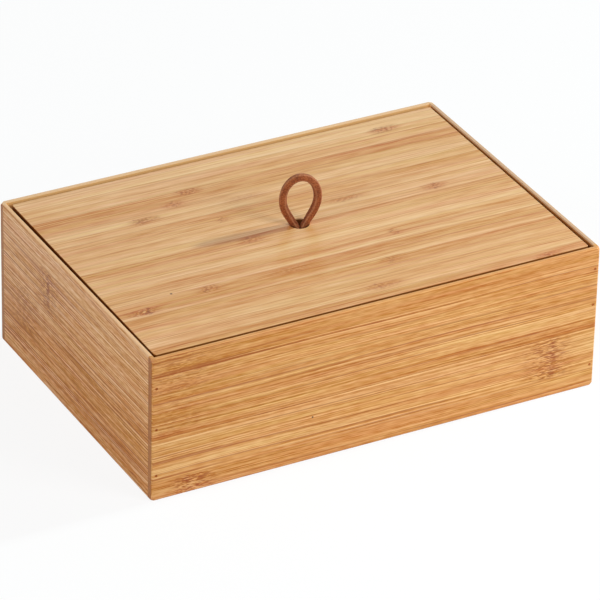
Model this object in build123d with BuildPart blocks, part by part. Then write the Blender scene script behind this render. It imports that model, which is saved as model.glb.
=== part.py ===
from build123d import *
import os
from math import cos, hypot, radians, sin, sqrt, tan

# Small bamboo storage box with a drop-in lid and a leather loop to lift it by.
# Millimetres. The origin is the centre of the footprint on the ground, +X runs along
# the long side, -Y is the front and +Z is up.

os.makedirs("parts", exist_ok=True)

# Outside of the box
box_width = 220.0
box_depth = 152.2
box_height = 70.8

# Boards: the front and back boards keep a lip that covers the ends of the side boards
board_thickness = 6.0
corner_lip = 3.5

# Sanding of the glued-up box
upright_radius = 1.0
top_radius = 0.6
bottom_radius = 0.9
corner_reach = 2.4
corner_ball_depth = 5.0

# Base panel in its groove
base_thickness = 3.0
base_rise = 3.0
groove_depth = 2.0
groove_play = 0.15

# Lid and the rebate that carries it, cut into the boards after the box is glued up
lid_thickness = 5.0
lid_recess = 0.3
lid_side_gap = 1.3
lid_front_gap = 1.5
lid_back_gap = 2.3
rim_width = 2.1
rim_ease = 0.4
lid_corner_radius = 1.3
lid_edge_radius = 0.35
lid_out_of_square = 0.35

# Hole for the pull, drilled a little off the middle of the lid
pull_x = 0.8
pull_y = 0.8
pull_hole_play = 1.5
pull_hole_ease = 0.4

# Leather pull: a cord folded into a loop, both strands through the hole, knotted below
cord_diameter = 3.4
cord_sides = 12
loop_width = 19.2
loop_height = 25.4
loop_top_pinch = 1.3
loop_leg_lean = 32.0
loop_turn = -12.0
strand_gap = 0.3
strand_bend_radius = 4.5
strand_bend_drop = 0.5
knot_clearance = 0.3
knot_diameter = 11.5
knot_shoulder_diameter = 8.0
knot_height = 7.5
knot_wrap_tilt = 24.0
knot_wrap_sides = 8
tail_length = 9.0
tail_spread = 14.0

# Brads at the corners: heights of three rows on the left and on the right corners
brad_inset = 2.2
brad_length = 15.0
brad_diameter = 1.3
brad_sink = 0.3
brad_point_length = 1.8
left_low_brad_rise = 12.5
left_high_brad_drop = 14.8
left_middle_brad_share = 0.53
right_low_brad_rise = 11.2
right_high_brad_drop = 10.6
right_middle_brad_share = 0.63

# Places that follow from the sizes above
half_width = box_width / 2
half_depth = box_depth / 2
lid_top = box_height - lid_recess
ledge_height = lid_top - lid_thickness
inner_half_width = half_width - board_thickness
inner_half_depth = half_depth - board_thickness
well_width = box_width - 2 * rim_width
well_depth = box_depth - 2 * rim_width
pull_hole_diameter = 2 * cord_diameter + strand_gap + pull_hole_play


# The box as it is after sanding: every board is cut back to this form
def corner_tip(x_side, y_side, at_top):
    corner_z = box_height if at_top else 0.0
    z_side = 1 if at_top else -1
    middle = corner_ball_depth / 2
    ball_radius = hypot(corner_ball_depth, corner_ball_depth, corner_ball_depth - corner_reach)
    block = Pos(
        x_side * (half_width - middle),
        y_side * (half_depth - middle),
        corner_z - z_side * middle,
    ) * Box(corner_ball_depth, corner_ball_depth, corner_ball_depth)
    ball = Pos(
        x_side * (half_width - corner_ball_depth),
        y_side * (half_depth - corner_ball_depth),
        corner_z - z_side * corner_ball_depth,
    ) * Sphere(ball_radius)
    return block - ball


corner_tips = [
    corner_tip(x_side, y_side, at_top)
    for x_side in (-1, 1)
    for y_side in (-1, 1)
    for at_top in (False, True)
]

with BuildPart() as sanded_form:
    with BuildSketch():
        RectangleRounded(box_width, box_depth, upright_radius)
    extrude(amount=box_height)
    fillet(sanded_form.edges().group_by(Axis.Z)[-1], top_radius)
    fillet(sanded_form.edges().group_by(Axis.Z)[0], bottom_radius)
    for tip in corner_tips:
        add(tip, mode=Mode.SUBTRACT)

# The rebate for the lid, with its upper edge eased all round
with BuildPart() as lid_well:
    with BuildSketch(Plane.XY.offset(ledge_height)):
        Rectangle(well_width, well_depth)
    extrude(amount=lid_thickness + lid_recess)
    with BuildSketch(Plane.XY.offset(box_height)):
        Rectangle(well_width + 2 * rim_ease, well_depth + 2 * rim_ease)
    extrude(amount=-rim_ease, taper=45)

# The space that the edge of the base panel slides into
with BuildPart() as base_groove:
    with BuildSketch(Plane.XY.offset(base_rise)):
        Rectangle(2 * (inner_half_width + groove_depth), 2 * (inner_half_depth + groove_depth))
    extrude(amount=base_thickness + groove_play)


# Brads
def brad_heights(low_rise, high_drop, middle_share):
    high = box_height - high_drop
    return (low_rise, low_rise + middle_share * (high - low_rise), high)


left_heights = brad_heights(left_low_brad_rise, left_high_brad_drop, left_middle_brad_share)
right_heights = brad_heights(right_low_brad_rise, right_high_brad_drop, right_middle_brad_share)
brad_column_x = half_width - brad_inset


def brad_places(x_side, y_side, sink=0.0):
    heights = left_heights if x_side < 0 else right_heights
    return [
        Plane(
            origin=(x_side * brad_column_x, y_side * (half_depth - sink), height),
            x_dir=(1, 0, 0),
            z_dir=(0, y_side, 0),
        ).location
        for height in heights
    ]


with BuildPart() as brad:
    with BuildSketch(Plane.XZ):
        with BuildLine():
            Polyline(
                (0, 0),
                (brad_diameter / 2, 0),
                (brad_diameter / 2, brad_point_length - brad_length),
                (0, -brad_length),
                close=True,
            )
        make_face()
    revolve(axis=Axis.Z)


def pin_group(label, x_side, y_side):
    with BuildPart() as pins:
        with Locations(*brad_places(x_side, y_side, brad_sink)):
            add(brad.part)
    pins.part.label = label
    export_step(pins.part, f"parts/{label}.step")


# Front and back boards
def long_board(label, y_side):
    with BuildPart() as board:
        with BuildSketch():
            with Locations((0, y_side * (half_depth - corner_lip / 2))):
                Rectangle(box_width, corner_lip)
            with Locations((0, y_side * (half_depth - board_thickness / 2))):
                Rectangle(2 * inner_half_width, board_thickness)
        extrude(amount=box_height)
        add(base_groove.part, mode=Mode.SUBTRACT)
        add(lid_well.part, mode=Mode.SUBTRACT)
        add(sanded_form.part, mode=Mode.INTERSECT)
        with Locations(*brad_places(-1, y_side), *brad_places(1, y_side)):
            Hole(radius=brad_diameter / 2, depth=board_thickness)
    board.part.label = label
    export_step(board.part, f"parts/{label}.step")


# Side boards
def side_board(label, x_side):
    with BuildPart() as board:
        with BuildSketch():
            with Locations((x_side * (half_width - board_thickness / 2), 0)):
                Rectangle(board_thickness, box_depth - 2 * corner_lip)
        extrude(amount=box_height)
        add(base_groove.part, mode=Mode.SUBTRACT)
        add(lid_well.part, mode=Mode.SUBTRACT)
        add(sanded_form.part, mode=Mode.INTERSECT)
        with Locations(*brad_places(x_side, -1), *brad_places(x_side, 1)):
            Hole(radius=brad_diameter / 2, depth=brad_sink + brad_length)
    board.part.label = label
    export_step(board.part, f"parts/{label}.step")


long_board("front_board", -1)
long_board("back_board", 1)
side_board("left_board", -1)
side_board("right_board", 1)
pin_group("front_left_pins", -1, -1)
pin_group("front_right_pins", 1, -1)
pin_group("back_left_pins", -1, 1)
pin_group("back_right_pins", 1, 1)

# Base panel, resting on the lower side of its groove
with BuildPart() as base_panel:
    with BuildSketch(Plane.XY.offset(base_rise)):
        Rectangle(
            2 * (inner_half_width + groove_depth - groove_play),
            2 * (inner_half_depth + groove_depth - groove_play),
        )
    extrude(amount=base_thickness)

base_panel.part.label = "base_panel"
export_step(base_panel.part, "parts/base_panel.step")

# Lid, resting on the ledge of the rebate; its ends are cut slightly out of square
lid_half_length = well_width / 2 - lid_side_gap
lid_front_y = lid_front_gap - well_depth / 2
lid_back_y = well_depth / 2 - lid_back_gap

with BuildPart() as lid_panel:
    with BuildSketch(Plane.XY.offset(ledge_height)) as lid_outline:
        with BuildLine():
            Polyline(
                (-lid_half_length - lid_out_of_square, lid_front_y),
                (lid_half_length - lid_out_of_square, lid_front_y),
                (lid_half_length + lid_out_of_square, lid_back_y),
                (-lid_half_length + lid_out_of_square, lid_back_y),
                close=True,
            )
        make_face()
        fillet(lid_outline.vertices(), lid_corner_radius)
    extrude(amount=lid_thickness)
    fillet(lid_panel.faces().sort_by(Axis.Z)[-1].edges(), lid_edge_radius)
    with Locations((pull_x, pull_y, lid_top)):
        Hole(pull_hole_diameter / 2)
    hole_rim = lid_panel.faces().sort_by(Axis.Z)[-1].inner_wires()[0].edges()
    chamfer(hole_rim, pull_hole_ease)

lid_panel.part.label = "lid_panel"
export_step(lid_panel.part, "parts/lid_panel.step")

# Leather pull. The cord's line is drawn in the upright plane of the loop: straight
# strands in the hole, legs that lean out, wide side arcs and a tighter arc over the top,
# each tangent to the next. The leaning legs and the tight top fix the arc of the sides
cord_radius = cord_diameter / 2
strand_x = cord_radius + strand_gap / 2
bend_z = -strand_bend_drop
loop_half_width = loop_width / 2 - cord_radius
top_arc_radius = loop_half_width - loop_top_pinch
top_centre_z = loop_height - cord_radius - top_arc_radius
lean = radians(loop_leg_lean)
spread_height = (loop_half_width - strand_x) / tan(lean)
squared_part = tan(lean / 2) / (2 * loop_top_pinch)
level_part = tan(lean / 2) * (loop_half_width + top_arc_radius) / 2
height_left = top_centre_z - bend_z - spread_height - level_part
shoulder_rise = (sqrt(1 + 4 * squared_part * height_left) - 1) / (2 * squared_part)
side_arc_radius = (shoulder_rise**2 / loop_top_pinch + loop_half_width + top_arc_radius) / 2
side_centre_x = loop_half_width - side_arc_radius
side_centre_z = top_centre_z - shoulder_rise
leg_x = side_centre_x + side_arc_radius * cos(lean)
leg_z = side_centre_z - side_arc_radius * sin(lean)
top_share = top_arc_radius / (side_arc_radius - top_arc_radius)
shoulder_x = -side_centre_x * top_share
shoulder_z = top_centre_z + shoulder_rise * top_share
knot_top = -lid_thickness - knot_clearance
knot_middle = knot_top - knot_height / 2
turn = radians(loop_turn)
pull_plane = Plane(
    origin=(pull_x, pull_y, lid_top),
    x_dir=(cos(turn), sin(turn), 0),
    z_dir=(sin(turn), -cos(turn), 0),
)
knot_plane = Plane(
    origin=pull_plane.from_local_coords((0, knot_middle, 0)),
    x_dir=pull_plane.x_dir,
    z_dir=(0, 0, 1),
)
wrap_radius = knot_diameter / 2 - cord_radius

with BuildPart() as leather_pull:
    with BuildLine(pull_plane) as loop_line:
        for side in (1, -1):
            FilletPolyline(
                (side * strand_x, knot_middle),
                (side * strand_x, bend_z),
                (side * leg_x, leg_z),
                radius=strand_bend_radius,
            )
            ThreePointArc(
                (side * leg_x, leg_z),
                (side * loop_half_width, side_centre_z),
                (side * shoulder_x, shoulder_z),
            )
        ThreePointArc(
            (shoulder_x, shoulder_z),
            (0, top_centre_z + top_arc_radius),
            (-shoulder_x, shoulder_z),
        )
    cord_line = loop_line.wires()[0]
    with BuildSketch(Plane(origin=cord_line @ 0, z_dir=cord_line % 0)):
        RegularPolygon(cord_radius, cord_sides)
    sweep(path=cord_line)

    # The knot: a rounded core, a strand wrapped round it, and two cut tails
    with BuildSketch(pull_plane):
        with BuildLine():
            Polyline(
                (0, knot_top),
                (knot_shoulder_diameter / 2, knot_top),
                (wrap_radius + cord_radius / 2, knot_middle + cord_radius),
                (wrap_radius + cord_radius / 2, knot_middle - cord_radius),
                (knot_shoulder_diameter / 2, knot_top - knot_height),
                (0, knot_top - knot_height),
                close=True,
            )
        make_face()
    revolve(axis=Axis(pull_plane.origin, (0, 0, 1)))
    wrap_plane = knot_plane.rotated((knot_wrap_tilt, 0, 0))
    with BuildSketch(Plane(wrap_plane.origin, x_dir=wrap_plane.x_dir, z_dir=wrap_plane.y_dir)):
        with Locations((wrap_radius, 0)):
            RegularPolygon(cord_radius, knot_wrap_sides)
    revolve(axis=Axis(wrap_plane.origin, wrap_plane.z_dir))
    for side in (-1, 1):
        tail_plane = knot_plane.rotated((0, side * tail_spread, 0))
        with BuildSketch(tail_plane):
            with Locations((-side * strand_x, 0)):
                RegularPolygon(cord_radius, cord_sides)
        extrude(amount=-knot_height / 2 - tail_length)

leather_pull.part.label = "leather_pull"
export_step(leather_pull.part, "parts/leather_pull.step")
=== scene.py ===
import math
import bpy
from mathutils import Matrix, Vector


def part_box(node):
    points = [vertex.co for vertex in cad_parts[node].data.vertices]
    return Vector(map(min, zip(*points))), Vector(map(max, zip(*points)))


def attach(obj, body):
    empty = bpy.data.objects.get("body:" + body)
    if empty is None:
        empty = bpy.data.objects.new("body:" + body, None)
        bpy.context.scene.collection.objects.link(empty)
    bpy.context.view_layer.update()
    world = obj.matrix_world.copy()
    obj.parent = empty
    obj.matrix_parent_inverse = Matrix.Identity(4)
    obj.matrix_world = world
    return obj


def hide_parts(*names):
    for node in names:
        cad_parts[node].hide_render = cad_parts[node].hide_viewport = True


# Looks of a small bamboo storage box: flat-pressed bamboo boards pinned at the corners,
# an edge-pressed bamboo lid dropped into a rebate, and a suede loop to lift it by.
# Metres; +X runs along the long side, -Y is the front and +Z is up.

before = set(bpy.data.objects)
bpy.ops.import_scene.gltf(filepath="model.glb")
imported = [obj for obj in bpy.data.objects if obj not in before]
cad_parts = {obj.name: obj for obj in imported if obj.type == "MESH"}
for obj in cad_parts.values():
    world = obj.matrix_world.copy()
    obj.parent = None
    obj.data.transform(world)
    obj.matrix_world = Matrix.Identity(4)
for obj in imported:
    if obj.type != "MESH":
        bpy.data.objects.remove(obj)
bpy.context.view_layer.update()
mm = 0.001


# sRGB hex to linear, with alpha
def hexColour(code):
    parts = [int(code[i:i + 2], 16) / 255 for i in (1, 3, 5)]
    return [p / 12.92 if p <= 0.04045 else ((p + 0.055) / 1.055) ** 2.4 for p in parts] + [1.0]


# adds a node, fills its inputs with values or links, and gives back one of its outputs
def addNode(tree, kind, inputs=(), output=0, **settings):
    node = tree.nodes.new(kind)
    for name, value in settings.items():
        setattr(node, name, value)
    pairs = inputs.items() if isinstance(inputs, dict) else enumerate(inputs)
    for key, value in pairs:
        if isinstance(value, bpy.types.NodeSocket):
            tree.links.new(value, node.inputs[key])
        else:
            node.inputs[key].default_value = value
    return node.outputs[output] if len(node.outputs) else node


def newMaterial(name):
    material = bpy.data.materials.new(name)
    material.use_nodes = True
    material.node_tree.nodes.clear()
    return material


def dress(node, material):
    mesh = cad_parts[node].data
    mesh.materials.clear()
    mesh.materials.append(material)


# Bamboo. Its fibre bundles run the length of each strip as fine dark lines. At the culm's
# nodes they swirl, break into dashes and darken. Sizes are those of the real board, in
# millimetres, but lines, strands and pores are 0.7 to 0.9 wide, because real ones of 0.3
# are too fine to show. Each band, streak, strand and pore has a length, a width and its
# share of the tone, and each dash a length and a width.
flatPressed = {
    "pale": "#EBB976", "middle": "#D3954F", "dark": "#BC7628", "line": "#A04C00",    # grain
    "node": "#943E00", "fleck": "#ECBE80", "blush": "#C07A34", "blushShare": 0.2,    # node marks
    "cut": "#7E4212", "end": "#80582E",    # painted gap shade on upright faces in the rebate, and end grain
    "hueSway": 0.026, "chromaSway": 0.06,    # how far the colour wanders
    "hueByTone": 0.004, "chromaByTone": 0.1,    # how far it follows the tone
    "stripPitch": 21.3, "firstJoint": 9.2, "stripTone": 0.16, "skinTone": 0.0,
    "band": (240, 7.0, 0.56), "streak": (160, 2.4, 0.3), "strand": (50, 0.7, 0.7),
    "pore": (6, 0.7, 0.62), "dash": (3.2, 0.48), "dashShare": 1.0, "swirl": 0.7, "markRound": 0.0,
    "lineWidth": 0.9, "lineDetail": 2.0, "lineTone": 1.75, "lineRun": 80, "vein": 0.6,
    "contrast": 0.93, "roughness": 0.4, "ior": 1.45,
    "gapShadeFrom": (0.35, 0.15),    # how much a face looks up where its painted gap shade starts and is full
}
# the side boards' strips are glued at other heights, and the left board's grain is finer
sideways = dict(flatPressed, firstJoint=17.9)
finer = dict(
    sideways, pale="#E9B982", middle="#D19355", dark="#BA772B", line="#9B5004", node="#8C4206",
    band=(240, 7.0, 0.2), streak=(130, 2.4, 0.26), strand=(36, 0.7, 1.15), pore=(5, 0.7, 0.75),
    stripTone=0.08, lineTone=2.3, contrast=1.2, hueSway=0.02, hueByTone=-0.002, chromaByTone=0.25)
edgePressed = {
    "pale": "#EDBD85", "middle": "#DAA368", "dark": "#C6874A", "line": "#AA5A20",
    "node": "#7E3600", "fleck": "#E6C08C", "blush": "#BE7236", "blushShare": 1.0,
    # cut: painted shade on the lid's upright edges in the gap; end is the end grain
    "cut": "#7E4212", "end": "#80582E",
    "hueSway": 0.034, "chromaSway": 0.08,
    "hueByTone": 0.004, "chromaByTone": 0.15,
    "stripPitch": 6.2, "firstJoint": 0.9, "stripTone": 0.34, "skinTone": 0.2,
    "band": (90, 5.5, 0.52), "streak": (40, 2.2, 0.36), "strand": (16, 0.75, 0.85),
    "pore": (5, 0.8, 0.2), "dash": (1.6, 1.1), "dashShare": 0.75, "swirl": 1.0, "markRound": 0.6,
    "lineWidth": 0.9, "lineDetail": 2.0, "lineTone": 0.8, "lineRun": 40, "vein": 0.32,
    "contrast": 0.85, "roughness": 0.34, "ior": 1.45,
    # how much a face looks up where the painted gap shade starts and is full
    "gapShadeFrom": (0.95, 0.45),
}

# What both kinds of bamboo share. A name that ends in Fade holds the two values between
# which something comes in, and one that ends in Size holds a length and a width.
fibre = {
    "paleAt": 0.05, "middleAt": 0.45, "darkAt": 0.72, "lineAt": 0.95,    # on the scale of tone
    "raggedSize": (25 / 3, 4 / 3), "raggedBy": 5.0, "driftSize": (110, 20), "driftBy": 2.2,
    "swirlSize": (5.5, 3), "stripShift": 57.0, "lineRoughness": 0.8,
    "runWidth": 3.2, "runFade": (0.34, 0.6), "runLeast": 0.2,
    "veinSize": (110, 0.85), "veinFade": (0.62, 0.76), "swaySize": (90, 2.8),
    "jointReach": 0.45, "jointShare": 0.3, "toneFade": (0.8, 0.4), "toneShare": 0.22,
    "reliefStrength": 0.2, "relief": 0.06,
    "speck": "#2A1608", "speckShare": 0.9, "speckCore": 0.5,
    "endFade": (0.75, 0.95), "endShare": 0.75, "endPore": 1.25, "plyAndSheenFade": (0.3, 0.8),
}
# A node's mark. Its reach is in half lengths of the mark; spill and rim are millimetres
# outside and inside the strip's edge.
nodeMark = {
    "reach": 1.7, "smudgeFade": (1.1, 0.05), "lineFade": (0.22, 0.04), "spill": 0.3, "rim": 0.9,
    "tone": 0.16, "narrowing": 1.6, "dashFade": (0.51, 0.59),
    "fleckFade": (0.46, 0.38), "fleckShare": 0.8, "coreFade": (0.4, 0.55), "coreShare": (0.1, 0.85),
}
# Upright faces above the lid's seat and inside the rims get painted shade, for the shade in
# the narrow gaps round the lid, and the rims' top edge is paler: partly the boards' plies, partly
# a painted sheen
rebate = {"above": 65.3, "withinX": 108.5, "withinY": 74.6, "share": 0.9, "plyAndSheenAbove": 70.1}

# The six pieces of bamboo. grain names the axes that run along, across and through the
# strips. marks says where the culm's nodes cross: along the grain, lowest and highest edge
# of the strip, half the length of the mark, how dark its smudge and its ragged line are, and
# how far the smudge trails off to one side. tones are strips that are plainly lighter or
# darker: across, tone; on the left board they are painted light, darker towards the bottom and
# lighter towards the top. specks are resin spots: along, across, radius. plyAndSheen is the
# colour and share of the paler top edge: partly the inner plies, partly a painted sheen. wall
# is the colour painted on the upright faces in the gap round the lid in place of the painted gap
# shade: a lighter painted shade on the right board, and a painted highlight on the back one.
bambooPieces = {
    "front_board": {
        "name": "oiledFlatPressedBambooFront", "look": flatPressed, "grain": "XZY", "seed": 1.0,
        "marks": [(88, 9.2, 30.4, 11, 0.8, 0.7, -0.2), (-92.4, -1, 9.2, 10, 0.9, 0.7, 0.2),
                  (-98, 51.7, 71, 24, 0.5, 0.1, 0), (-99, 30.4, 51.7, 18, 0.4, 0.0, 0)],
        "specks": [(-32.3, 21.6, 0.55)], "plyAndSheen": ("#D19352", 0.5)},
    "back_board": {
        "name": "oiledFlatPressedBambooBack", "look": flatPressed, "grain": "XZY", "seed": 12.0,
        "marks": [(-61, 30.4, 51.7, 9, 0.8, 0.8, 0), (34, 9.2, 30.4, 8, 0.8, 0.7, 0),
                  (80, 51.7, 71, 8, 0.6, 0.5, 0)],
        # wall: a painted highlight on the back board's wall in the gap round the lid
        "plyAndSheen": ("#E6BE90", 0.9), "wall": "#FFCC86"},
    "left_board": {
        "name": "oiledFlatPressedBambooLeft", "look": finer, "grain": "YZX", "seed": 25.0,
        "marks": [(26.4, 39.2, 60.5, 10, 0.8, 0.9, 0), (51, 17.9, 39.2, 14, 0.6, 0.1, 0)],
        # painted light: these tones make the left board darker towards the bottom and lighter towards the
        # top
        "tones": [(6, -0.25), (22, -0.15), (66, 0.2)], "plyAndSheen": ("#EDBE8C", 0.8)},
    "right_board": {
        "name": "oiledFlatPressedBambooRight", "look": sideways, "grain": "YZX", "seed": 38.0,
        "marks": [(-38, 17.9, 39.2, 8, 0.8, 0.7, 0), (45, 39.2, 60.5, 8, 0.7, 0.6, 0)],
        # wall: a lighter painted shade on the right board's wall in the gap round the lid
        "plyAndSheen": ("#D0A984", 0.9), "wall": "#CC8440"},
    "lid_panel": {
        "name": "oiledEdgePressedBambooLid", "look": edgePressed, "grain": "XYZ", "seed": 51.0,
        "tones": [(72, 0.9), (66, 0.9), (57, -0.2), (45, -0.3), (31, 0.3), (-16, 0.9), (-24, -0.8),
                  (-36, -0.9), (-60, -0.5), (-71, -1.1)],
        "specks": [(-77.7, -29.5, 0.7)]},
    "base_panel": {
        "name": "thinBambooBase", "look": flatPressed, "grain": "XYZ", "seed": 64.0,
        "marks": [(40, -30, -9, 8, 0.7, 0.6, 0)]},
}
# the lid's marks are each one strip wide, so they give the strip's middle
lidMarks = [
    (-41.1, 40.7, 5, 0.5, 0.5, 0), (-62.8, 32.9, 6, 0.75, 0.5, 0.5), (-33.4, 48.2, 5, 0.75, 0.4, 0.6),
    (-29.3, 19.2, 3, 0.4, 0.6, 0.5), (-26.2, -2.6, 5, 0.65, 0.4, 0.3), (-62.8, -32.7, 5, 0.7, 0.5, 0.5),
    (-92.6, -38.4, 6, 1.0, 0.9, -0.4), (-24, -33.7, 9, 0.4, 0.1, 0.4), (73.6, 61.8, 6, 0.75, 0.5, 0.6),
    (-9.7, 32.3, 9, 0.3, 0, 0), (27.4, 12.2, 9, 0.5, 0.1, 0.3), (71.7, 5.1, 5, 0.65, 0.4, 0),
    (35.3, -23.4, 2.5, 0.45, 0.6, 0), (21.7, -44.9, 6, 0.4, 0.3, 0.3), (6, -63, 8, 0.5, 0.3, 0.3),
    (86.5, -72, 5, 0.7, 0.5, 0),
]
halfStrip = edgePressed["stripPitch"] / 2
bambooPieces["lid_panel"]["marks"] = [(x, y - halfStrip, y + halfStrip, *rest) for x, y, *rest in lidMarks]


# how near a point is to a node's smudge, and to the ragged line in its middle
def nodeMarks(tree, marks, along, across, roundness):
    near, core = None, None
    smudgeFrom, smudgeTo = nodeMark["smudgeFade"]
    lineFrom, lineTo = nodeMark["lineFade"]
    for u, low, high, half, smudge, line, trail in marks:
        halfWidth = (high - low) / 2
        offAcross = addNode(tree, "ShaderNodeMath", [across, low + halfWidth], operation="SUBTRACT")
        height = addNode(tree, "ShaderNodeMath", [offAcross], operation="ABSOLUTE")
        inStrip = addNode(tree, "ShaderNodeMapRange", {
            "Value": height, "From Min": halfWidth + nodeMark["spill"],
            "From Max": halfWidth - nodeMark["rim"]})
        offAlong = addNode(tree, "ShaderNodeMath", [along, u], operation="SUBTRACT")
        offSmudge = addNode(tree, "ShaderNodeMath", [along, u + trail * half], operation="SUBTRACT")
        reach = addNode(tree, "ShaderNodeMath", [offAlong], operation="ABSOLUTE")
        distance = addNode(tree, "ShaderNodeVectorMath", [addNode(tree, "ShaderNodeCombineXYZ", [
            addNode(tree, "ShaderNodeMath", [offSmudge, nodeMark["reach"] * half], operation="DIVIDE"),
            addNode(tree, "ShaderNodeMath", [offAcross, roundness / halfWidth], operation="MULTIPLY")])],
            output="Value", operation="LENGTH")
        smudged = addNode(tree, "ShaderNodeMapRange", {
            "Value": distance, "From Min": smudgeFrom, "From Max": smudgeTo, "To Max": smudge},
            interpolation_type="SMOOTHSTEP")
        lined = addNode(tree, "ShaderNodeMapRange", {
            "Value": reach, "From Min": lineFrom * half, "From Max": lineTo * half, "To Max": line},
            interpolation_type="SMOOTHSTEP")
        smudgeHere = addNode(tree, "ShaderNodeMath", [smudged, inStrip], operation="MULTIPLY")
        lineHere = addNode(tree, "ShaderNodeMath", [lined, inStrip], operation="MULTIPLY")
        near = smudgeHere if near is None else addNode(
            tree, "ShaderNodeMath", [near, smudgeHere], operation="MAXIMUM")
        core = lineHere if core is None else addNode(
            tree, "ShaderNodeMath", [core, lineHere], operation="MAXIMUM")
    return near, core


# darkens the cut ends of the fibres, paints shade on the upright faces in the rebate, where
# the gaps round the lid lie in shade, and paints the paler top edge of the rims, partly plies and
# partly a painted sheen; gives back the colour and how much the surface shines
def cutFaces(tree, mixed, inMm, grain, look, plyAndSheen, wall):
    axes = addNode(tree, "ShaderNodeSeparateXYZ", [inMm]).node.outputs
    facing = addNode(tree, "ShaderNodeTexCoord", output="Normal")
    facingAxes = addNode(tree, "ShaderNodeSeparateXYZ", [facing]).node.outputs
    endOn = addNode(tree, "ShaderNodeMath", [facingAxes[grain[0]]], operation="ABSOLUTE")
    endFrom, endTo = fibre["endFade"]
    endMask = addNode(tree, "ShaderNodeMapRange", {
        "Value": endOn, "From Min": endFrom, "From Max": endTo, "To Max": fibre["endShare"]})
    pores = addNode(tree, "ShaderNodeTexNoise", {
        "Vector": inMm, "Scale": 1 / fibre["endPore"], "Detail": 1.0})
    endTone = addNode(tree, "ShaderNodeMixRGB", [pores, hexColour(look["line"]), hexColour(look["end"])])
    mixed = addNode(tree, "ShaderNodeMixRGB", [endMask, mixed, endTone])
    steepness = addNode(tree, "ShaderNodeMath", [facingAxes["Z"]], operation="ABSOLUTE")
    gapShadeStart, gapShadeFull = look["gapShadeFrom"]
    gapShadeMask = addNode(tree, "ShaderNodeMapRange", {
        "Value": steepness, "From Min": gapShadeStart, "From Max": gapShadeFull, "To Max": rebate["share"]})
    aside = addNode(tree, "ShaderNodeMath", [axes["X"]], operation="ABSOLUTE")
    away = addNode(tree, "ShaderNodeMath", [axes["Y"]], operation="ABSOLUTE")
    for value, limit, side in (
            (axes["Z"], rebate["above"], "GREATER_THAN"), (aside, rebate["withinX"], "LESS_THAN"),
            (away, rebate["withinY"], "LESS_THAN")):
        within = addNode(tree, "ShaderNodeMath", [value, limit], operation=side)
        gapShadeMask = addNode(tree, "ShaderNodeMath", [gapShadeMask, within], operation="MULTIPLY")
    # painted shade on the upright faces in the gap, or the wall's painted colour where one is given
    mixed = addNode(tree, "ShaderNodeMixRGB", [gapShadeMask, mixed, hexColour(wall or look["cut"])])
    shine = addNode(tree, "ShaderNodeMath", [gapShadeMask, -0.5, 0.5], operation="MULTIPLY_ADD")    # 0 where the gap shade is painted, so the painted shade has no sheen
    # the paler top edge of the rims: partly the plies, partly a painted sheen
    if plyAndSheen:
        plyAndSheenColour, plyAndSheenShare = plyAndSheen
        plyFrom, plyTo = fibre["plyAndSheenFade"]
        level = addNode(tree, "ShaderNodeMapRange", {
            "Value": facingAxes["Z"], "From Min": plyFrom, "From Max": plyTo, "To Max": plyAndSheenShare})
        atTop = addNode(tree, "ShaderNodeMath", [axes["Z"], rebate["plyAndSheenAbove"]], operation="GREATER_THAN")
        plyAndSheenMask = addNode(tree, "ShaderNodeMath", [level, atTop], operation="MULTIPLY")
        mixed = addNode(tree, "ShaderNodeMixRGB", [plyAndSheenMask, mixed, hexColour(plyAndSheenColour)])
    return mixed, shine


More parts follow.
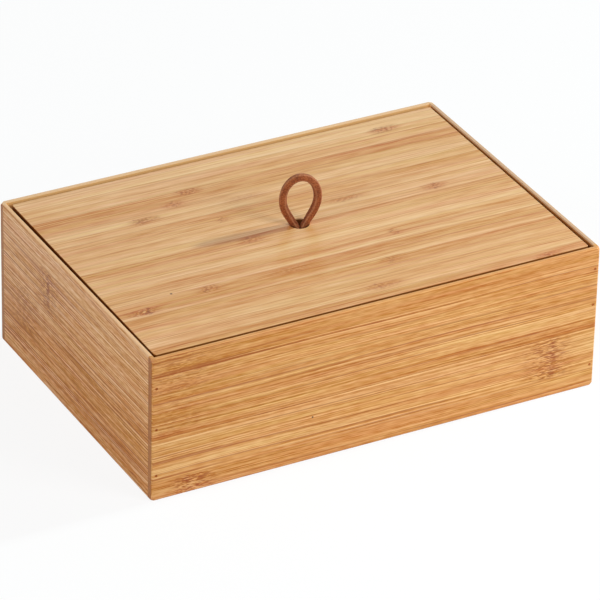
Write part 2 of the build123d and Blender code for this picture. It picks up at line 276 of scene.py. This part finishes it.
# oiled bamboo, satin: warm straw colour with straight fine lines and a soft white sheen
def bambooMaterial(name, look, grain, seed, marks, tones=(), specks=(), plyAndSheen=None, wall=None):
    material = newMaterial(name)
    tree = material.node_tree
    place = addNode(tree, "ShaderNodeTexCoord", output="Object")
    inMm = addNode(tree, "ShaderNodeVectorMath", [place, (1 / mm, 1 / mm, 1 / mm)], operation="MULTIPLY")
    axes = addNode(tree, "ShaderNodeSeparateXYZ", [inMm]).node.outputs
    along, across, through = (axes[axis] for axis in grain)
    pitch = look["stripPitch"]

    # which strip a point is on, how far across it, and how near its joint
    shifted = addNode(tree, "ShaderNodeMath", [across, look["firstJoint"]], operation="SUBTRACT")
    counted = addNode(tree, "ShaderNodeMath", [shifted, pitch], operation="DIVIDE")
    strip = addNode(tree, "ShaderNodeMath", [counted], operation="FLOOR")
    stripSeed = addNode(tree, "ShaderNodeMath", [strip, seed], operation="ADD")
    chance = addNode(tree, "ShaderNodeTexWhiteNoise", {"W": stripSeed}, noise_dimensions="1D")
    sawtooth = addNode(tree, "ShaderNodeMath", [counted, strip], operation="SUBTRACT")
    offCentre = addNode(tree, "ShaderNodeMath", [sawtooth, 0.5], operation="SUBTRACT")
    jointSide = addNode(tree, "ShaderNodeMath", [offCentre], operation="ABSOLUTE")
    jointLine = addNode(tree, "ShaderNodeMapRange", {
        "Value": jointSide, "From Min": 0.5 - fibre["jointReach"] / pitch, "From Max": 0.5})

    # nodes, along a ragged course
    raggedLength, raggedWidth = fibre["raggedSize"]
    raggedAt = addNode(tree, "ShaderNodeCombineXYZ", [
        seed, addNode(tree, "ShaderNodeMath", [across, 1 / raggedWidth], operation="MULTIPLY"),
        addNode(tree, "ShaderNodeMath", [along, 1 / raggedLength], operation="MULTIPLY")])
    ragged = addNode(tree, "ShaderNodeTexNoise", {"Vector": raggedAt, "Scale": 1.0, "Detail": 2.0})
    raggedBy = addNode(tree, "ShaderNodeMapRange", {
        "Value": ragged, "To Min": -fibre["raggedBy"], "To Max": fibre["raggedBy"]})
    alongRagged = addNode(tree, "ShaderNodeMath", [along, raggedBy], operation="ADD")
    near, core = nodeMarks(tree, marks, alongRagged, across, look["markRound"])

    # the fibres drift a little everywhere and swirl beside a node
    seeded = addNode(tree, "ShaderNodeCombineXYZ", [along, across, seed])
    driftLength, driftWidth = fibre["driftSize"]
    driftAt = addNode(tree, "ShaderNodeMapping", {
        "Vector": seeded, "Scale": (1 / driftLength, 1 / driftWidth, 1)})
    drift = addNode(tree, "ShaderNodeTexNoise", {"Vector": driftAt, "Scale": 1.0, "Detail": 0.0})
    swirlLength, swirlWidth = fibre["swirlSize"]
    swirlAt = addNode(tree, "ShaderNodeMapping", {
        "Vector": seeded, "Scale": (1 / swirlLength, 1 / swirlWidth, 1)})
    swirl = addNode(tree, "ShaderNodeTexNoise", {"Vector": swirlAt, "Scale": 1.0, "Detail": 1.0})
    swirlReach = addNode(tree, "ShaderNodeMath", [near, look["swirl"]], operation="MULTIPLY")
    driftBy = addNode(tree, "ShaderNodeMath", [drift, fibre["driftBy"], across], operation="MULTIPLY_ADD")
    swirled = addNode(tree, "ShaderNodeMath", [swirl, 0.5], operation="SUBTRACT")
    swirlBy = addNode(tree, "ShaderNodeMath", [swirled, swirlReach], operation="MULTIPLY")
    acrossWavy = addNode(tree, "ShaderNodeMath", [driftBy, swirlBy], operation="ADD")
    alongShifted = addNode(
        tree, "ShaderNodeMath", [strip, fibre["stripShift"], along], operation="MULTIPLY_ADD")
    grainAt = addNode(tree, "ShaderNodeCombineXYZ", [alongShifted, acrossWavy, through])

    # a pattern of fibres this long and wide; the board's seed and turn set it apart
    def fibres(length, width, detail, turn):
        at = addNode(tree, "ShaderNodeMapping", {
            "Vector": grainAt, "Location": (seed * 3.1 + turn, seed * 1.7 + turn, turn),
            "Scale": (1 / length, 1 / width, 1 / width)})
        return addNode(tree, "ShaderNodeTexNoise", {"Vector": at, "Scale": 1.0, "Detail": detail})

    # adds a pattern that runs from 0 to 1 to the tone, by its share
    def addShare(total, pattern, share):
        centred = addNode(tree, "ShaderNodeMath", [pattern, 0.5], operation="SUBTRACT")
        return addNode(tree, "ShaderNodeMath", [centred, share, total], operation="MULTIPLY_ADD")

    # the fibre bundles, which fade in and out along the strip
    lineAt = addNode(
        tree, "ShaderNodeMath", [acrossWavy, 1 / look["lineWidth"], stripSeed], operation="MULTIPLY_ADD")
    bundles = addNode(tree, "ShaderNodeTexNoise", {
        "W": lineAt, "Scale": 1.0, "Detail": look["lineDetail"], "Roughness": fibre["lineRoughness"]},
        noise_dimensions="1D")
    runFrom, runTo = fibre["runFade"]
    run = addNode(tree, "ShaderNodeMapRange", {
        "Value": fibres(look["lineRun"], fibre["runWidth"], 0.0, 51),
        "From Min": runFrom, "From Max": runTo, "To Min": fibre["runLeast"]})
    lineShare = addNode(tree, "ShaderNodeMath", [run, look["lineTone"]], operation="MULTIPLY")

    # tone from pale to dark: strip, its denser skin side, and the patterns of fibres
    middle = fibre["middleAt"]
    tone = addNode(tree, "ShaderNodeMath", [near, nodeMark["tone"], middle], operation="MULTIPLY_ADD")
    tone = addShare(tone, chance, look["stripTone"])
    tone = addShare(tone, sawtooth, look["skinTone"])
    patterns = {}
    for pattern, turn in (("band", 3), ("streak", 11), ("strand", 23), ("pore", 93)):
        length, width, share = look[pattern]
        patterns[pattern] = fibres(length, width, 1.0, turn)
        tone = addShare(tone, patterns[pattern], share)
    tone = addShare(tone, bundles, lineShare)
    toneFrom, toneTo = fibre["toneFade"]
    for v, shift in tones:
        offMiddle = addNode(
            tree, "ShaderNodeMath", [acrossWavy, v + fibre["driftBy"] / 2], operation="SUBTRACT")
        offStrip = addNode(tree, "ShaderNodeMath", [offMiddle], operation="ABSOLUTE")
        lighter = addNode(tree, "ShaderNodeMapRange", {
            "Value": offStrip, "From Min": toneFrom * pitch, "From Max": toneTo * pitch,
            "To Max": -fibre["toneShare"] * shift})
        tone = addNode(tree, "ShaderNodeMath", [tone, lighter], operation="ADD")
    contrast = look["contrast"]
    tone = addNode(
        tree, "ShaderNodeMath", [tone, contrast, middle * (1 - contrast)], operation="MULTIPLY_ADD")
    body = addNode(tree, "ShaderNodeValToRGB", [tone])
    ramp = body.node.color_ramp
    ramp.elements[0].position, ramp.elements[0].color = fibre["paleAt"], hexColour(look["pale"])
    ramp.elements[1].position, ramp.elements[1].color = fibre["lineAt"], hexColour(look["line"])
    ramp.elements.new(middle).color = hexColour(look["middle"])
    ramp.elements.new(fibre["darkAt"]).color = hexColour(look["dark"])

    # the blush, dashes, flecks and ragged line of each node
    blushed = addNode(tree, "ShaderNodeMath", [near, look["blushShare"]], operation="MULTIPLY")
    mixed = addNode(tree, "ShaderNodeMixRGB", [blushed, body, hexColour(look["blush"])])
    inner = addNode(tree, "ShaderNodeMath", [near, nodeMark["narrowing"]], operation="POWER")
    dashLength, dashWidth = look["dash"]
    dashes = fibres(dashLength, dashWidth, 1.0, 37)
    dashShare = look["dashShare"]
    for (fadeFrom, fadeTo), share, colour in (
            (nodeMark["dashFade"], dashShare, look["node"]),
            (nodeMark["fleckFade"], nodeMark["fleckShare"] * dashShare, look["fleck"])):
        mask = addNode(tree, "ShaderNodeMapRange", {
            "Value": dashes, "From Min": fadeFrom, "From Max": fadeTo, "To Max": share},
            interpolation_type="SMOOTHSTEP")
        here = addNode(tree, "ShaderNodeMath", [mask, inner], operation="MULTIPLY")
        mixed = addNode(tree, "ShaderNodeMixRGB", [here, mixed, hexColour(colour)])
    coreFrom, coreTo = nodeMark["coreFade"]
    coreLeast, coreMost = nodeMark["coreShare"]
    coreBroken = addNode(tree, "ShaderNodeMapRange", {
        "Value": dashes, "From Min": coreFrom, "From Max": coreTo, "To Min": coreLeast, "To Max": coreMost})
    coreHere = addNode(tree, "ShaderNodeMath", [core, coreBroken], operation="MULTIPLY")
    mixed = addNode(tree, "ShaderNodeMixRGB", [coreHere, mixed, hexColour(look["node"])])

    # browner and yellower stretches; hue and strength of colour also go by the tone
    swayLength, swayWidth = fibre["swaySize"]
    swayed = fibres(swayLength, swayWidth, 1.0, 83).node.outputs["Color"]
    sways = addNode(tree, "ShaderNodeSeparateColor", [swayed]).node.outputs
    darker = addNode(tree, "ShaderNodeMath", [tone, middle], operation="SUBTRACT")
    hue = addShare(0.5, sways[0], look["hueSway"])
    hue = addNode(tree, "ShaderNodeMath", [darker, -look["hueByTone"], hue], operation="MULTIPLY_ADD")
    chroma = addShare(1.0, sways[1], look["chromaSway"])
    chroma = addNode(
        tree, "ShaderNodeMath", [darker, look["chromaByTone"], chroma], operation="MULTIPLY_ADD")
    mixed = addNode(tree, "ShaderNodeHueSaturation", {"Hue": hue, "Saturation": chroma, "Color": mixed})

    # long dark veins, the joints between strips, and resin specks
    veinLength, veinWidth = fibre["veinSize"]
    veinFrom, veinTo = fibre["veinFade"]
    veins = addNode(tree, "ShaderNodeMapRange", {
        "Value": fibres(veinLength, veinWidth, 0.0, 67), "From Min": veinFrom, "From Max": veinTo,
        "To Max": look["vein"]}, interpolation_type="SMOOTHSTEP")
    mixed = addNode(tree, "ShaderNodeMixRGB", [veins, mixed, hexColour(look["line"])])
    jointHere = addNode(tree, "ShaderNodeMath", [jointLine, fibre["jointShare"]], operation="MULTIPLY")
    mixed = addNode(tree, "ShaderNodeMixRGB", [jointHere, mixed, hexColour(look["line"])])
    for u, v, radius in specks:
        offSpeck = addNode(tree, "ShaderNodeVectorMath", [
            addNode(tree, "ShaderNodeCombineXYZ", [along, across, 0.0]), (u, v, 0.0)],
            output="Value", operation="DISTANCE")
        speck = addNode(tree, "ShaderNodeMapRange", {
            "Value": offSpeck, "From Min": radius, "From Max": fibre["speckCore"] * radius,
            "To Max": fibre["speckShare"]})
        mixed = addNode(tree, "ShaderNodeMixRGB", [speck, mixed, hexColour(fibre["speck"])])

    mixed, shine = cutFaces(tree, mixed, inMm, grain, look, plyAndSheen, wall)
    relief = addNode(tree, "ShaderNodeMath", [patterns["strand"], patterns["streak"]], operation="ADD")
    bump = addNode(tree, "ShaderNodeBump", {
        "Height": relief, "Strength": fibre["reliefStrength"], "Distance": fibre["relief"] * mm})
    shader = addNode(tree, "ShaderNodeBsdfPrincipled", {
        "Base Color": mixed, "Roughness": look["roughness"], "IOR": look["ior"],
        "Specular IOR Level": shine, "Normal": bump})
    addNode(tree, "ShaderNodeOutputMaterial", [shader])
    return material


for node, piece in bambooPieces.items():
    dress(node, bambooMaterial(**piece))
print("bamboo done:", len(bambooPieces), "pieces")

# Brads: soft steel that the oil has darkened and rust has browned, dull and speckled
brads = {
    "steel": "#9C4818", "rust": "#C06A2C", "speckle": 0.4, "metallic": 0.1, "roughness": 0.85,
    "nodes": ("front_left_pins", "front_right_pins", "back_left_pins", "back_right_pins"),
}
bradSteel = newMaterial("rustBrownedSteel")
tree = bradSteel.node_tree
place = addNode(tree, "ShaderNodeTexCoord", output="Object")
speckle = addNode(tree, "ShaderNodeTexNoise", {
    "Vector": place, "Scale": 1 / (brads["speckle"] * mm), "Detail": 2.0})
steelRamp = addNode(tree, "ShaderNodeValToRGB", [speckle])
steelRamp.node.color_ramp.elements[0].color = hexColour(brads["steel"])
steelRamp.node.color_ramp.elements[1].color = hexColour(brads["rust"])
shader = addNode(tree, "ShaderNodeBsdfPrincipled", {
    "Base Color": steelRamp, "Metallic": brads["metallic"], "Roughness": brads["roughness"]})
addNode(tree, "ShaderNodeOutputMaterial", [shader])
for node in brads["nodes"]:
    dress(node, bradSteel)
print("brads done:", len(brads["nodes"]), "groups")

# The pull: one suede cord. Sizes are in millimetres and turns in degrees. centre is where
# its axis stands from the lid's middle. The points of its course are measured from there at
# the lid's top, in the loop's own plane: a tail, half of the loop, its top, the strand below
# the hole, the wrap round both strands and the other tail.
pull = {
    "thickness": 3.35, "corner": 0.95, "cornerPoints": 4, "sectionPoints": 28,
    "sectionTurn": 62.0, "sectionTwist": 60.0, "step": 0.45, "smoothness": 16,
    "loopTurn": -12.0, "centre": (1.05, 0.75),
    "pinch": 0.9, "pinchReach": 7.0, "unevenness": 0.16, "lump": 1000 / 330,
    "firstTail": [(-4.9, 0.6, -21.5), (-3.6, 0.3, -17.0), (-1.5, 0.0, -12.0), (-1.0, 0.0, -9.0),
                  (-1.7, 0.0, -6.0)],
    "halfLoop": [(1.6, -3.6), (1.58, -2.3), (2.0, -1.1), (2.85, 0.3), (4.5, 3.2), (6.05, 5.9),
                 (7.5, 9.4), (8.0, 13.1), (7.35, 17.2), (5.45, 20.6), (2.9, 22.6)],
    "loopTop": 23.25, "belowHole": (1.95, 0.0, -5.4),
    "wrap": {"radius": 3.95, "top": -7.3, "pitch": 3.5, "from": 40, "to": 400, "steps": 9},
    "lastTail": [(-0.2, 2.4, -11.6), (0.9, 0.6, -13.0), (3.0, -0.2, -17.2), (4.6, -0.4, -21.3)],
}
# Suede: matt, with a short nap that scatters light at grazing angles, in patches that lie
# differently, and paler along its ridges: partly wear, partly a painted highlight where the
# ridges catch the light. Real nap is finer than 0.6 mm, but wouldn't show.
nap = {
    "dark": "#5E2809", "middle": "#8A4419", "pale": "#AE6635", "wornAndLit": "#C28860", "wornAndLitShare": 0.38,
    "size": 0.625, "patch": 1000 / 260, "patchShare": 0.35, "darkAt": 0.37, "middleAt": 0.5, "paleAt": 0.64,
    "ridgeShare": 0.35, "ridgeFade": (0.66, 0.86), "bumpStrength": 0.6, "bump": 0.15,
    "roughness": 0.85, "sheen": 0.1, "sheenRoughness": 0.5, "sheenTint": "#E0A080",
}
suede = newMaterial("brownSuedeCord")
tree = suede.node_tree
place = addNode(tree, "ShaderNodeTexCoord", output="Object")
fuzz = addNode(tree, "ShaderNodeTexNoise", {
    "Vector": place, "Scale": 1 / (nap["size"] * mm), "Detail": 4.0, "Roughness": 0.7})
patches = addNode(tree, "ShaderNodeTexNoise", {
    "Vector": place, "Scale": 1 / (nap["patch"] * mm), "Detail": 2.0})
napTone = addNode(tree, "ShaderNodeMath", [
    addNode(tree, "ShaderNodeMath", [patches, nap["patchShare"], fuzz], operation="MULTIPLY_ADD"),
    1 + nap["patchShare"]], operation="DIVIDE")
suedeRamp = addNode(tree, "ShaderNodeValToRGB", [napTone])
ramp = suedeRamp.node.color_ramp
ramp.elements[0].position, ramp.elements[0].color = nap["darkAt"], hexColour(nap["dark"])
ramp.elements[1].position, ramp.elements[1].color = nap["paleAt"], hexColour(nap["pale"])
ramp.elements.new(nap["middleAt"]).color = hexColour(nap["middle"])
# paler along the cord's corners: partly wear, partly a painted highlight
ridge = addNode(tree, "ShaderNodeAttribute", output="Fac", attribute_name="ridge")
ridgeFrom, ridgeTo = nap["ridgeFade"]
onRidge = addNode(tree, "ShaderNodeMapRange", {
    "Value": addNode(tree, "ShaderNodeMath", [fuzz, nap["ridgeShare"], ridge], operation="MULTIPLY_ADD"),
    "From Min": ridgeFrom, "From Max": ridgeTo, "To Max": nap["wornAndLitShare"]},
    interpolation_type="SMOOTHSTEP")
suedeTone = addNode(tree, "ShaderNodeMixRGB", [onRidge, suedeRamp, hexColour(nap["wornAndLit"])])
napBump = addNode(tree, "ShaderNodeBump", {
    "Height": fuzz, "Strength": nap["bumpStrength"], "Distance": nap["bump"] * mm})
shader = addNode(tree, "ShaderNodeBsdfPrincipled", {
    "Base Color": suedeTone, "Roughness": nap["roughness"], "Sheen Weight": nap["sheen"],
    "Sheen Roughness": nap["sheenRoughness"], "Sheen Tint": hexColour(nap["sheenTint"]), "Normal": napBump})
addNode(tree, "ShaderNodeOutputMaterial", [shader])
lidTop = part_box("lid_panel")[1].z


def cordCourse():
    points = list(pull["firstTail"])
    points += [(-x, 0.0, z) for x, z in pull["halfLoop"]]
    points += [(0.0, 0.0, pull["loopTop"])]
    points += [(x, 0.0, z) for x, z in reversed(pull["halfLoop"])]
    points += [pull["belowHole"]]
    wrap = pull["wrap"]
    for i in range(wrap["steps"] + 1):
        share = i / wrap["steps"]
        angle = math.radians(wrap["from"] + share * (wrap["to"] - wrap["from"]))
        z = wrap["top"] - wrap["pitch"] * share
        points.append((wrap["radius"] * math.cos(angle), wrap["radius"] * math.sin(angle), z))
    points += pull["lastTail"]
    turn = Matrix.Rotation(math.radians(pull["loopTurn"]), 3, "Z")
    hole = Vector((*pull["centre"], lidTop / mm))
    return [(turn @ Vector(point) + hole) * mm for point in points]


# sweeps a rounded square along the course, squeezed in the hole and a little uneven
def cordTree():
    tree = bpy.data.node_groups.new("suedeCord", "GeometryNodeTree")
    tree.interface.new_socket("Geometry", in_out="INPUT", socket_type="NodeSocketGeometry")
    for name in ("Thickness", "Corner", "Section Turn", "Section Twist", "Step", "Pinch", "Pinch Height",
                 "Pinch Reach", "Unevenness", "Lump"):
        tree.interface.new_socket(name, in_out="INPUT", socket_type="NodeSocketFloat")
    tree.interface.new_socket("Suede", in_out="INPUT", socket_type="NodeSocketMaterial")
    tree.interface.new_socket("Geometry", in_out="OUTPUT", socket_type="NodeSocketGeometry")
    given = addNode(tree, "NodeGroupInput").node.outputs
    course = addNode(tree, "GeometryNodeResampleCurve", {
        "Curve": given["Geometry"], "Length": given["Step"]}, mode="LENGTH")
    share = addNode(tree, "GeometryNodeSplineParameter", output="Factor")
    tilt = addNode(
        tree, "ShaderNodeMath", [share, given["Section Twist"], given["Section Turn"]],
        operation="MULTIPLY_ADD")
    tilted = addNode(tree, "GeometryNodeSetCurveTilt", {"Curve": course, "Tilt": tilt})
    # both strands are squeezed where they pass through the hole
    place = addNode(tree, "GeometryNodeInputPosition")
    height = addNode(tree, "ShaderNodeSeparateXYZ", [place], output="Z")
    aboveHole = addNode(tree, "ShaderNodeMath", [height, given["Pinch Height"]], operation="SUBTRACT")
    fromHole = addNode(tree, "ShaderNodeMath", [aboveHole], operation="ABSOLUTE")
    squeeze = addNode(tree, "ShaderNodeMapRange", {
        "Value": fromHole, "From Min": 0.0, "From Max": given["Pinch Reach"],
        "To Min": given["Pinch"], "To Max": 1.0}, interpolation_type="SMOOTHSTEP")
    squeezed = addNode(tree, "GeometryNodeSetCurveRadius", {"Curve": tilted, "Radius": squeeze})
    square = addNode(tree, "GeometryNodeCurvePrimitiveQuadrilateral", {
        "Width": given["Thickness"], "Height": given["Thickness"]}, mode="RECTANGLE")
    rounded = addNode(tree, "GeometryNodeFilletCurve", {
        "Curve": square, "Radius": given["Corner"], "Count": pull["cornerPoints"]}, mode="POLY")
    section = addNode(tree, "GeometryNodeResampleCurve", {
        "Curve": rounded, "Count": pull["sectionPoints"]}, mode="COUNT")
    # how near a point of the section is to a corner, for the paler ridges: partly wear, partly a painted
    # highlight
    onSection = addNode(tree, "ShaderNodeSeparateXYZ", [place]).node.outputs
    product = addNode(tree, "ShaderNodeMath", [onSection["X"], onSection["Y"]], operation="MULTIPLY")
    size = addNode(tree, "ShaderNodeMath", [product], operation="ABSOLUTE")
    area = addNode(tree, "ShaderNodeMath", [given["Thickness"], given["Thickness"]], operation="MULTIPLY")
    quarter = addNode(tree, "ShaderNodeMath", [area, 0.25], operation="MULTIPLY")
    ridge = addNode(tree, "ShaderNodeMath", [size, quarter], operation="DIVIDE")
    wornAndLit = addNode(tree, "GeometryNodeStoreNamedAttribute", {
        "Geometry": section, "Name": "ridge", "Value": ridge}, data_type="FLOAT", domain="POINT")
    cord = addNode(tree, "GeometryNodeCurveToMesh", {
        "Curve": squeezed, "Profile Curve": wornAndLit, "Scale": squeeze, "Fill Caps": True})
    lumpScale = addNode(tree, "ShaderNodeMath", [1.0, given["Lump"]], operation="DIVIDE")
    lumps = addNode(tree, "ShaderNodeTexNoise", {
        "Vector": place, "Scale": lumpScale, "Detail": 3.0, "Roughness": 0.6})
    lift = addNode(tree, "ShaderNodeMath", [lumps, 0.5], operation="SUBTRACT")
    raised = addNode(tree, "ShaderNodeMath", [lift, given["Unevenness"]], operation="MULTIPLY")
    normal = addNode(tree, "GeometryNodeInputNormal")
    offset = addNode(tree, "ShaderNodeVectorMath", {0: normal, "Scale": raised}, operation="SCALE")
    uneven = addNode(tree, "GeometryNodeSetPosition", {"Geometry": cord, "Offset": offset})
    smooth = addNode(tree, "GeometryNodeSetShadeSmooth", {"Geometry": uneven})
    real = addNode(tree, "GeometryNodeRealizeInstances", {"Geometry": smooth})
    dressed = addNode(tree, "GeometryNodeSetMaterial", {"Geometry": real, "Material": given["Suede"]})
    addNode(tree, "NodeGroupOutput", {"Geometry": dressed})
    return tree


def makePull():
    line = bpy.data.curves.new("cordCourse", "CURVE")
    line.dimensions = "3D"
    line.twist_mode = "MINIMUM"
    points = cordCourse()
    spline = line.splines.new("BEZIER")
    spline.bezier_points.add(len(points) - 1)
    for knot, point in zip(spline.bezier_points, points):
        knot.co = point
        knot.handle_left_type = knot.handle_right_type = "AUTO"
    spline.resolution_u = pull["smoothness"]
    source = bpy.data.objects.new("cordCourse", line)
    bpy.context.scene.collection.objects.link(source)
    tree = cordTree()
    modifier = source.modifiers.new("cord", "NODES")
    modifier.node_group = tree
    values = {
        "Thickness": pull["thickness"] * mm, "Corner": pull["corner"] * mm,
        "Section Turn": math.radians(pull["sectionTurn"]),
        "Section Twist": math.radians(pull["sectionTwist"]),
        "Step": pull["step"] * mm, "Pinch": pull["pinch"], "Pinch Height": lidTop,
        "Pinch Reach": pull["pinchReach"] * mm, "Unevenness": pull["unevenness"] * mm,
        "Lump": pull["lump"] * mm, "Suede": suede,
    }
    for item in tree.interface.items_tree:
        if item.in_out == "INPUT" and item.name in values:
            modifier[item.identifier] = values[item.name]
    bpy.context.view_layer.update()
    # the modifier's result becomes a plain mesh, and the curve with its modifier goes
    shown = source.evaluated_get(bpy.context.evaluated_depsgraph_get())
    mesh = bpy.data.meshes.new_from_object(shown)
    mesh.name = "leatherPull"
    piece = bpy.data.objects.new("leatherPull", mesh)
    bpy.context.scene.collection.objects.link(piece)
    bpy.data.objects.remove(source)
    return piece


leatherPull = makePull()
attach(leatherPull, "pull")
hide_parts("leather_pull")
print("pull done:", len(leatherPull.data.polygons), "faces")

# Floor and surroundings: pale, white to the camera, with the box's soft shadow left on the
# floor. ambient is the light that comes from all round.
studio = {
    "floorSize": 6.0, "floorColour": "#F8F8F8", "shadowShare": 0.12, "mirroredShare": 0.9,
    "ambient": 0.26, "white": (1.0, 1.0, 1.0, 1.0),
}
half = studio["floorSize"] / 2
floorMesh = bpy.data.meshes.new("floor")
floorMesh.from_pydata(
    [(-half, -half, 0), (half, -half, 0), (half, half, 0), (-half, half, 0)], [], [(0, 1, 2, 3)])
floor = bpy.data.objects.new("floor", floorMesh)
bpy.context.scene.collection.objects.link(floor)
paleFloor = newMaterial("paleStudioFloor")
tree = paleFloor.node_tree
paths = addNode(tree, "ShaderNodeLightPath").node.outputs
whiteSeen = addNode(
    tree, "ShaderNodeMath", [paths["Is Camera Ray"], 1 - studio["shadowShare"]], operation="MULTIPLY")
mirrored = addNode(
    tree, "ShaderNodeMath", [paths["Is Glossy Ray"], paths["Is Transmission Ray"]], operation="MAXIMUM")
whiteShare = addNode(
    tree, "ShaderNodeMath", [mirrored, 1 - studio["mirroredShare"], whiteSeen], operation="MULTIPLY_ADD")
lit = addNode(tree, "ShaderNodeBsdfDiffuse", {"Color": hexColour(studio["floorColour"])})
glow = addNode(tree, "ShaderNodeEmission", {"Color": studio["white"], "Strength": 1.0})
mixedFloor = addNode(tree, "ShaderNodeMixShader", [whiteShare, lit, glow])
addNode(tree, "ShaderNodeOutputMaterial", [mixedFloor])
floorMesh.materials.append(paleFloor)

world = bpy.data.worlds.new("whiteStudio")
world.use_nodes = True
bpy.context.scene.world = world
tree = world.node_tree
tree.nodes.clear()
paths = addNode(tree, "ShaderNodeLightPath").node.outputs
# white to the camera, in mirrored light and through glass, and ambient to all the rest
seen = addNode(
    tree, "ShaderNodeMath", [paths["Is Camera Ray"], paths["Is Glossy Ray"]], operation="MAXIMUM")
seen = addNode(tree, "ShaderNodeMath", [seen, paths["Is Transmission Ray"]], operation="MAXIMUM")
strength = addNode(tree, "ShaderNodeMapRange", {"Value": seen, "To Min": studio["ambient"], "To Max": 1.0})
background = addNode(tree, "ShaderNodeBackground", {"Color": studio["white"], "Strength": strength})
addNode(tree, "ShaderNodeOutputWorld", [background])

# Lamps: the side of the box each stands on (0 is in front, 90 to the right), its height
# above the horizon, its distance and width in metres, how bright it makes a white surface
# that faces it, and its colour. The key is a little cooler than the fills, so that the
# loop's shadow on the lid is warm.
lamps = [
    {"name": "key", "azimuth": 88.5, "elevation": 28, "distance": 2.6, "width": 0.17, "level": 0.8,
     "colour": "#E9FCFF"},
    {"name": "frontFill", "azimuth": 28, "elevation": 32, "distance": 0.8, "width": 0.4, "level": 0.47,
     "colour": "#FFFFFF"},
    {"name": "leftFill", "azimuth": -80, "elevation": 26, "distance": 1.9, "width": 1.4, "level": 0.38,
     "colour": "#FFFFFF"},
]
lampAim = Vector((0, 0, 0.04))


# the direction from the box to something at this azimuth and elevation, in radians
def towards(azimuth, elevation):
    level = math.cos(elevation)
    return Vector((math.sin(azimuth) * level, -math.cos(azimuth) * level, math.sin(elevation)))


for lamp in lamps:
    light = bpy.data.lights.new(lamp["name"], "AREA")
    light.shape = "DISK"
    light.size = lamp["width"]
    light.energy = lamp["level"] * math.pi ** 2 * lamp["distance"] ** 2    # watts for that level
    light.color = hexColour(lamp["colour"])[:3]
    holder = bpy.data.objects.new(lamp["name"], light)
    direction = towards(math.radians(lamp["azimuth"]), math.radians(lamp["elevation"]))
    holder.location = direction * lamp["distance"] + lampAim
    holder.rotation_euler = direction.to_track_quat("Z", "Y").to_euler()
    bpy.context.scene.collection.objects.link(holder)
print("studio done:", len(lamps), "lamps")

# Camera: a long lens from the front left, found by fitting the box's edges in the photo.
# It stands back from a point at this height on the box's axis, moved aside and upward in
# its own frame.
view = {
    "azimuth": -28.63, "elevation": 30.3, "roll": 1.35, "distance": 2.1245, "lens": 286.0, "sensor": 36.0,
    "aside": 1.481 * mm, "upward": -4.019 * mm, "height": 36.67 * mm,
}
azimuth, elevation, roll = (math.radians(view[name]) for name in ("azimuth", "elevation", "roll"))
back = towards(azimuth, elevation)
right = Vector((math.cos(azimuth), math.sin(azimuth), 0))
up = back.cross(right)
lens = bpy.data.cameras.new("camera")
lens.lens = view["lens"]
lens.sensor_width = view["sensor"]
camera = bpy.data.objects.new("camera", lens)
rolledRight = right * math.cos(roll) + up * math.sin(roll)
rolledUp = up * math.cos(roll) - right * math.sin(roll)
camera.rotation_euler = Matrix((rolledRight, rolledUp, back)).transposed().to_euler()
camera.location = (back * view["distance"] + right * view["aside"] + up * view["upward"]
                   + Vector((0, 0, view["height"])))
bpy.context.scene.collection.objects.link(camera)
bpy.context.scene.camera = camera
bpy.context.scene.view_settings.view_transform = "Standard"
print("camera done")
